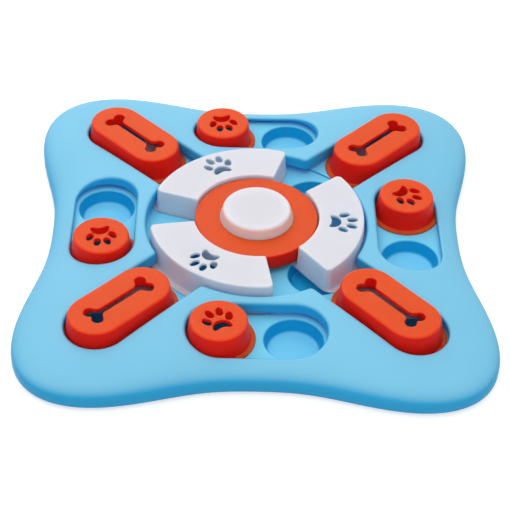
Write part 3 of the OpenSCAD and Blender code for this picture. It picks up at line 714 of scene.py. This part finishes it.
class FEEDER_OT_cover(bpy.types.Operator):
    """Build the domed cover with its rounded openings and hanging lips"""

    bl_idname = "feeder.cover"
    bl_label = "Cover"

    def execute(self, context):
        size = context.scene.feeder.cover
        fit = min(1.0, CAD_BOX[1].x / max(x for x, _ in toy_outline(size)))
        skin = Skin()

        def scale_at(x, y):
            """Scale of the outline that passes through a point."""
            return math.hypot(x, y) / (toy_radius(size, math.atan2(y, x)) * fit)

        def dome(x, y):
            """Height of the dome over a point."""
            k, power = min(scale_at(x, y), 1), size.dome_power
            return size.top_z - size.dome_drop * (1 - (1 - k ** power) ** (1 / power))

        def ceiling(x, y):
            """Height of the dome's underside at a point."""
            return dome(x, y) - size.wall

        def profile(turn):
            """Scale and height of the dome where its section has turned by turn."""
            k = math.sin(turn) ** (2 / size.dome_power)
            return k, size.top_z - size.dome_drop * (1 - math.cos(turn) ** (2 / size.dome_power))

        first = math.asin(EDGE_SCALE ** (size.dome_power / 2))
        turns = np.linspace(math.pi / 2, first, 15)
        edge_z = size.top_z - size.dome_drop
        low = size.rim_z + size.rim_round
        outer = [skin.ring(toy_outline(size, fit, size.rim_w), size.rim_z)]
        for g, z in arc(0, low, size.rim_round, -90, 0, 6):
            outer.append(skin.ring(toy_outline(size, fit, size.rim_round - g), z))
        outer.append(skin.ring(toy_outline(size, fit), (low + edge_z) / 2))
        outer += [skin.ring(toy_outline(size, k * fit), z) for k, z in map(profile, turns)]
        skin.bridge(outer)
        inner = []
        nudge = 0.01  # step, in radians, over which the slope is measured
        for turn in turns[::-1]:
            k, z = profile(turn)
            k1, z1 = profile(min(turn + nudge, math.pi / 2))
            k0, z0 = profile(turn - nudge)
            run, fall = (k1 - k0) * size.corner_r, z0 - z1
            span = math.hypot(run, fall)
            inset = size.wall + (size.rim_w - size.wall) * (turn - first) / (math.pi / 2 - first)
            outline = toy_outline(size, k * fit, inset * fall / span)
            inner.append(skin.ring(outline, z - size.wall * run / span))
        inner.append(skin.ring(toy_outline(size, fit, size.rim_w), low))
        skin.bridge(inner)
        skin.bridge([inner[-1], outer[0]])
        # The cover's underside gets painted glow.
        skin.paint_glow(inner)

        curves = [lambda g: centre_opening(size, g)]
        curves += [lambda g, q=q: side_slot(size, q, g) for q in QUARTERS]
        tops, roots = [], []
        r, soft = size.edge_round, 0.0007
        for curve in curves:
            flat = curve(0.0)
            lean = [dome(x, y) for x, y in flat]
            rings = []
            for a in np.radians(np.linspace(90, 0, 9)):
                moved, near = curve(r * (1 - math.cos(a))), math.sin(a)
                rings.append(skin.lay([
                    (x, y, dome(x, y) * near + (z - r) * (1 - near)) for (x, y), z in zip(moved, lean)
                ]))
            for g, z in arc(soft, size.lip_z + soft, soft, 180, 270, 3):
                rings.append(skin.ring(curve(g), z))
            for g, z in arc(size.lip_t - soft, size.lip_z + soft, soft, 270, 360, 3):
                rings.append(skin.ring(curve(g), z))
            rings.append(skin.ring(curve(size.lip_t), ceiling))
            skin.bridge(rings)
            tops.append(rings[0])
            roots.append(rings[-1])
        keep_off = r + 0.0012
        blocked = [curve(keep_off) for curve in curves]
        spread = []
        for k in SPREAD_SCALES:
            ring = np.array(toy_outline(size, k * fit, 0, 192 if k > 0.7 else 128))
            spread += [tuple(p) for p in ring[~inside(ring, blocked)]]
        skin.fill(outer[-1], tops, spread, dome)
        beneath = [p for p in spread if scale_at(*p) < UNDERSIDE_SCALE][::2]
        skin.fill(inner[0], roots, beneath, ceiling, up=False)
        add_piece("top_cover_shell", skin, "cover", "toy_base", "top_cover")
        return {"FINISHED"}


class FEEDER_OT_sliders(bpy.types.Operator):
    """Build the round sliders with paws and the oblong sliders with bones"""

    bl_idname = "feeder.sliders"
    bl_label = "Sliders"

    def execute(self, context):
        size = context.scene.feeder.slider
        cover = context.scene.feeder.cover
        outside, cavity = slider_wall(size, size.paw_flange, size.paw_top_z)
        for name, quarter, way, turn in PAW_SLIDERS:
            (x, y), = placed([(cover.slot_r, way * size.paw_at)], turn=quarter)
            cuts = [lambda g, k=k: paw_cuts(size, g, turn, x, y)[k] for k in range(5)]
            skin = Skin().cap(
                lambda g: placed(circle(size.paw_foot_r + g, 112), x, y), outside, cavity, cuts,
                size.cut_round, size.paw_top_z, size.paw_top_z - size.wall,
            )
            add_piece(f"paw_slider_{name}_cap", skin, "orange", f"paw_{name}", f"paw_slider_{name}")
        outside, cavity = slider_wall(size, size.bone_flange, size.bone_top_z)
        for name, diagonal in zip(SIDES, DIAGONALS):
            loose = name == "front_right"
            at = size.bone_at - (size.loose_slide if loose else 0)
            turn = diagonal + (math.degrees(size.loose_turn) if loose else 0)
            (x, y), = placed([(at, 0)], turn=diagonal)
            skin = Skin().cap(
                lambda g: placed(oblong(size.bone_half, size.bone_foot_r + g), x, y, turn),
                outside, cavity, [lambda g: bone_cut(size, g, turn, x, y)],
                size.cut_round, size.bone_top_z, size.bone_top_z - size.wall,
            )
            add_piece(f"bone_slider_{name}_cap", skin, "orange", f"bone_{name}", f"bone_slider_{name}")
        return {"FINISHED"}


class FEEDER_OT_fans(bpy.types.Operator):
    """Build the three fan covers that turn round the hub"""

    bl_idname = "feeder.fans"
    bl_label = "Fan covers"

    def execute(self, context):
        size = context.scene.feeder.hub
        slider = context.scene.feeder.slider
        least_round = 0.0006

        def drawn_in(inset, share=size.fan_in_share):
            """Growth of the outer, inner and straight edges and of the corners of a wall."""
            at_hub = inset * share
            return (-inset, -at_hub, -inset, -min(inset, size.fan_corner - least_round),
                    -min(at_hub, size.fan_in_corner - least_round))

        low, over, top = size.fan_z, size.fan_z + size.fan_flange_t, size.fan_top_z
        draft, r, wall, hollow = size.fan_draft, size.fan_round, size.fan_wall, HOLLOW_ROUND
        fillet, edge = 0.001, 0.0004
        cut = edge * 0.3
        flange = (size.fan_flange, size.fan_flange_in, size.fan_flange_side)
        middle = (over + top - r) / 2

        def rim(inset):
            """The same for the flange."""
            return tuple(f - inset for f in flange) + (size.fan_flange - inset, 0.0)

        outside = [(drawn_in(wall, 1), low), (rim(edge), low), (rim(cut), low + cut)]
        outside += [(rim(0), low + edge), (rim(cut), over - cut), (rim(edge), over)]
        outside += [(drawn_in(-out, 0), over + up) for out, up in ((0.0007, 0), (0.00025, 0.0003))]
        outside += [(drawn_in(0), over + fillet), (drawn_in(draft / 2), middle)]
        for g, z in arc(-draft - r, top - r, r, 3, 90, 9):
            past = -g - draft
            outside.append((drawn_in(-g, (draft * size.fan_in_share + past) / -g), z))
        cavity = [(drawn_in(draft + wall + hollow, 1), top - wall)]
        cavity.append((drawn_in(draft + wall, 1), top - wall - hollow))
        cavity.append((drawn_in(wall, 1), over))
        paw_r = (size.fan_r + size.fan_in_r) / 2
        for name, angle in FAN_ANGLES:
            (x, y), = placed([(paw_r, 0)], turn=angle)
            cuts = [lambda g, k=k: paw_cuts(slider, g, angle, x, y)[k] for k in range(5)]
            skin = Skin().cap(
                lambda g: placed(fan_plan(size, *g), turn=angle), outside, cavity, cuts,
                slider.cut_round, top, top - wall,
            )
            add_piece(f"fan_{name}_shell", skin, "white", f"fan_{name}", f"fan_cover_{name}")
        return {"FINISHED"}


class FEEDER_OT_hub(bpy.types.Operator):
    """Turn the hub disc and its button"""

    bl_idname = "feeder.hub"
    bl_label = "Hub disc and button"

    def execute(self, context):
        s = context.scene.feeder.hub
        top, low, r, soft = s.disc_top_z, s.disc_low_z, s.disc_round, 0.0005
        floor_z = low + 0.0022
        sleeve, sleeve_top = s.post_r + 0.003, floor_z + 0.0034 - AIR
        under = top - s.disc_t
        profile = [(s.post_r, low), (s.pocket_r + s.disc_t, low), (s.pocket_r + s.disc_t, under)]
        profile += [(s.disc_r - s.disc_t, under), (s.disc_r - s.disc_t, low)]
        profile += arc(s.disc_r - soft, low + soft, soft, -90, 0, 3)
        profile += arc(s.disc_r - r, top - r, r, 0, 90, 9)
        profile += [(s.pocket_r + soft, top), (s.pocket_r, top - soft), (s.pocket_r, floor_z)]
        profile += [(sleeve, floor_z), (sleeve, sleeve_top), (s.post_r, sleeve_top)]
        add_piece("hub_disc_drum", Skin().turned(profile, 160), "orange", "hub", "hub_disc")

        crown, r, flare = top + s.button_h, s.button_round, s.button_foot
        skirt, skirt_t, skirt_h, cap_t = s.pocket_r - 0.0001, 0.0016, 0.0034, 0.0022
        bevel_w, bevel_h, foot_t = 0.0002, 0.0003, 0.0005
        side = s.button_r - flare - s.button_draft
        within, under, low = skirt - skirt_t, crown - cap_t, top - skirt_h
        profile = [(0, under), (within, under), (within, low), (skirt, low)]
        profile += [(skirt, top + AIR), (s.button_r - bevel_w, top + AIR)]
        profile += [(s.button_r, top + bevel_h)]
        profile += arc(s.button_r, top + foot_t + flare, flare, -90, -178, 5)
        profile += arc(side - r, crown - r, r, 6, 90, 11)
        profile += [((side - r) * k, crown) for k in (0.75, 0.5, 0.25, 0)]
        skin = Skin().turned(profile, 160)
        # The button gets the white finish with painted reflection on its side.
        add_piece("hub_button_cap", skin, "white", "hub", "hub_button", look="button")
        return {"FINISHED"}


class FEEDER_OT_fasteners(bpy.types.Operator):
    """Repeat the cover screws and the rubber feet round the toy"""

    bl_idname = "feeder.fasteners"
    bl_label = "Screws and feet"

    def execute(self, context):
        s = context.scene.feeder.fastener
        recess, crown, tip = s.head_h * 0.45, s.head_h * 0.6, 0.0002
        screw = [(0, -recess), (s.head_r * 0.3, -recess), (s.head_r * 0.36, -s.head_h)]
        screw += arc(s.head_r - crown, crown - s.head_h, crown, -90, 0, 6)
        screw += [(s.head_r, -0.0001), (s.screw_r, 0), (s.screw_r, s.shank - s.screw_r)]
        screw += [(s.screw_r * 0.3, s.shank - tip), (0, s.shank)]
        mesh = skin_mesh("screw", Skin().turned(screw, 32))
        at = (s.screw_x, s.screw_y)
        screws = repeated("cover_screw_set", mesh, "steel", at, s.screw_seat_z, True)
        add_piece("cover_screw_set", screws, "steel", "toy_base", "cover_screws")
        r, h, soft = s.foot_r, s.foot_h, 0.0009
        foot = [(0, 0)] + arc(r - soft, soft, soft, -90, 0, 6) + [(r, h), (0, h)]
        mesh = skin_mesh("foot", Skin().turned(foot, 64))
        at = s.foot_at / math.sqrt(2)
        feet = repeated("rubber_foot_set", mesh, "rubber", (at, at), 0.0, False)
        nodes = [f"rubber_foot_{side}" for side in SIDES]
        add_piece("rubber_foot_set", feet, "rubber", "toy_base", *nodes)
        return {"FINISHED"}


def repeated(name, mesh, slot, place, height, both):
    """Geometry Nodes: one copy each quarter turn, and its mirror place too where both is set."""
    tree = bpy.data.node_groups.new(name + "_tree", "GeometryNodeTree")
    for way in ("INPUT", "OUTPUT"):
        tree.interface.new_socket(name="Geometry", in_out=way, socket_type="NodeSocketGeometry")
    values = {"Out": place[0], "Sideways": place[1], "Height": height, "Quarters": 4}
    settings = sockets(tree, "INPUT", values)
    source = node(tree, "NodeGroupInput").outputs
    joined = node(tree, "GeometryNodeJoinGeometry")
    for sign in (1, -1) if both else (1,):
        index = node(tree, "GeometryNodeInputIndex").outputs[0]
        spot = node(tree, "ShaderNodeCombineXYZ", {
            "X": source["Out"], "Y": maths(tree, "MULTIPLY", source["Sideways"], sign),
            "Z": source["Height"],
        })
        turn = node(tree, "ShaderNodeVectorRotate", {
            "Vector": spot.outputs[0], "Angle": maths(tree, "MULTIPLY", index, math.pi / 2),
        }, rotation_type="Z_AXIS")
        points = node(tree, "GeometryNodePoints", {
            "Count": source["Quarters"], "Position": turn.outputs[0],
        })
        copies = node(tree, "GeometryNodeInstanceOnPoints", {
            "Points": points.outputs[0], "Instance": source["Geometry"],
        })
        feed(tree, joined, {0: copies.outputs[0]})
    real = node(tree, "GeometryNodeRealizeInstances", {0: joined.outputs[0]})
    paint = node(tree, "GeometryNodeSetMaterial", {
        "Geometry": real.outputs[0], "Material": finishes()[slot],
    })
    node(tree, "NodeGroupOutput", {0: paint.outputs[0]})
    carrier = bpy.data.objects.new(name + "_carrier", mesh)
    bpy.context.scene.collection.objects.link(carrier)
    nodes = carrier.modifiers.new(name, "NODES")
    nodes.node_group = tree
    for item, value in zip(settings, values.values()):
        nodes[item.identifier] = value
    result = settled(carrier)
    bpy.data.objects.remove(carrier)
    result.name = name
    return result


class FEEDER_OT_frame_finishes(bpy.types.Operator):
    """Give the tray, its wells, the hub screw and the washer their finishes"""

    bl_idname = "feeder.frame_finishes"
    bl_label = "Tray, wells and small steel parts"

    def execute(self, context):
        looks = dict.fromkeys(("base_tray", "side_wells", "corner_wells"), "tray")
        # The ring wells get the darker painted shade finish.
        looks.update(ring_wells="painted_shade", hub_screw="steel", hub_washer="steel")
        for name, look in looks.items():
            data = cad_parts[name].data
            data.materials.clear()
            data.materials.append(finishes()[look])
        return {"FINISHED"}


def directly_seen(tree):
    """Mask that is 1 for camera, mirror and glass rays, in which the backdrop looks white."""
    path = node(tree, "ShaderNodeLightPath").outputs
    mask = path["Is Camera Ray"]
    for ray in ("Is Glossy Ray", "Is Transmission Ray"):
        mask = maths(tree, "MAXIMUM", mask, path[ray])
    return mask


class FEEDER_OT_stage(bpy.types.Operator):
    """Set up the pale floor, the soft studio light and the camera"""

    bl_idname = "feeder.stage"
    bl_label = "Stage"

    def execute(self, context):
        scene = context.scene
        scene.view_settings.view_transform = "Standard"
        mesh = bpy.data.meshes.new("floor")
        mesh.from_pydata([(-4, -4, 0), (4, -4, 0), (4, 4, 0), (-4, 4, 0)], [], [(0, 1, 2, 3)])
        floor = bpy.data.objects.new("floor", mesh)
        floor.location.z = -0.0001
        scene.collection.objects.link(floor)
        m = bpy.data.materials.new("pale_floor")
        m.use_nodes = True
        tree = m.node_tree
        feed(tree, tree.nodes["Principled BSDF"], {
            "Base Color": (0.62, 0.62, 0.63, 1), "Roughness": 0.9, "Specular IOR Level": 0.1,
            "Emission Color": (1, 1, 1, 1),
            "Emission Strength": maths(tree, "MULTIPLY", directly_seen(tree), FLOOR_GLOW),
        })
        mesh.materials.append(m)

        world = bpy.data.worlds.new("studio")
        world.use_nodes = True
        scene.world = world
        tree = world.node_tree
        level = node(tree, "ShaderNodeMapRange", {
            "Value": directly_seen(tree), "To Min": ROOM_LIGHT, "To Max": 1.0,
        })
        feed(tree, tree.nodes["Background"], {
            "Color": (1, 1, 1, 1), "Strength": level.outputs["Result"],
        })

        for name, spot, reach, power in (
            ("overhead_softbox", (-0.18, 0.12, 1.5), 2.2, 16.6),
            ("back_softbox", (-0.4, 1.35, 1.0), 1.2, 5.0),
            ("front_fill", (0.2, -1.3, 0.7), 1.0, 2.4),
        ):
            lamp = bpy.data.lights.new(name, "AREA")
            lamp.size = reach
            lamp.energy = power
            holder = bpy.data.objects.new(name, lamp)
            holder.location = spot
            aim = Vector((0, 0, 0.02)) - Vector(spot)
            holder.rotation_euler = aim.to_track_quat("-Z", "Y").to_euler()
            scene.collection.objects.link(holder)

        data = bpy.data.cameras.new("camera")
        data.sensor_width = 36.0
        data.lens = 107.9
        data.clip_start = 0.05
        data.clip_end = 20
        camera = bpy.data.objects.new("camera", data)
        eye, target = Vector((-0.0205, -0.7668, 0.6713)), Vector((-0.00104, -0.0356, 0.025))
        aim = (target - eye).to_track_quat("-Z", "Y").to_matrix().to_4x4()
        roll = Matrix.Rotation(math.radians(2.12), 4, "Z")
        camera.matrix_world = Matrix.Translation(eye) @ aim @ roll
        scene.collection.objects.link(camera)
        scene.camera = camera
        return {"FINISHED"}


class FEEDER_PT_panel(bpy.types.Panel):
    """Sidebar panel with the toy's settings and steps"""

    bl_idname = "FEEDER_PT_panel"
    bl_label = "Puzzle feeder"
    bl_space_type = "VIEW_3D"
    bl_region_type = "UI"
    bl_category = "Feeder"

    def draw(self, context):
        column = self.layout.column(align=True)
        for step in STEPS:
            column.operator(step.bl_idname)
        for part in ("cover", "slider", "hub", "fastener", "colours"):
            group = getattr(context.scene.feeder, part)
            box = self.layout.box()
            box.label(text=part.title())
            for name in group.bl_rna.properties.keys():
                if name not in ("rna_type", "name"):
                    box.prop(group, name)


STEPS = (
    FEEDER_OT_stage,
    FEEDER_OT_frame_finishes,
    FEEDER_OT_cover,
    FEEDER_OT_sliders,
    FEEDER_OT_fans,
    FEEDER_OT_hub,
    FEEDER_OT_fasteners,
)
CLASSES = (
    FeederCoverSizes, FeederSliderSizes, FeederHubSizes, FeederFastenerSizes, FeederColours,
    FeederSettings, *STEPS, FEEDER_PT_panel,
)


def register():
    for cls in CLASSES:
        bpy.utils.register_class(cls)
    bpy.types.Scene.feeder = bpy.props.PointerProperty(type=FeederSettings)


def unregister():
    del bpy.types.Scene.feeder
    for cls in reversed(CLASSES):
        bpy.utils.unregister_class(cls)


def main():
    register()
    for step in STEPS:
        group, name = step.bl_idname.split(".")
        getattr(getattr(bpy.ops, group), name)()


if __name__ == "__main__":
    main()
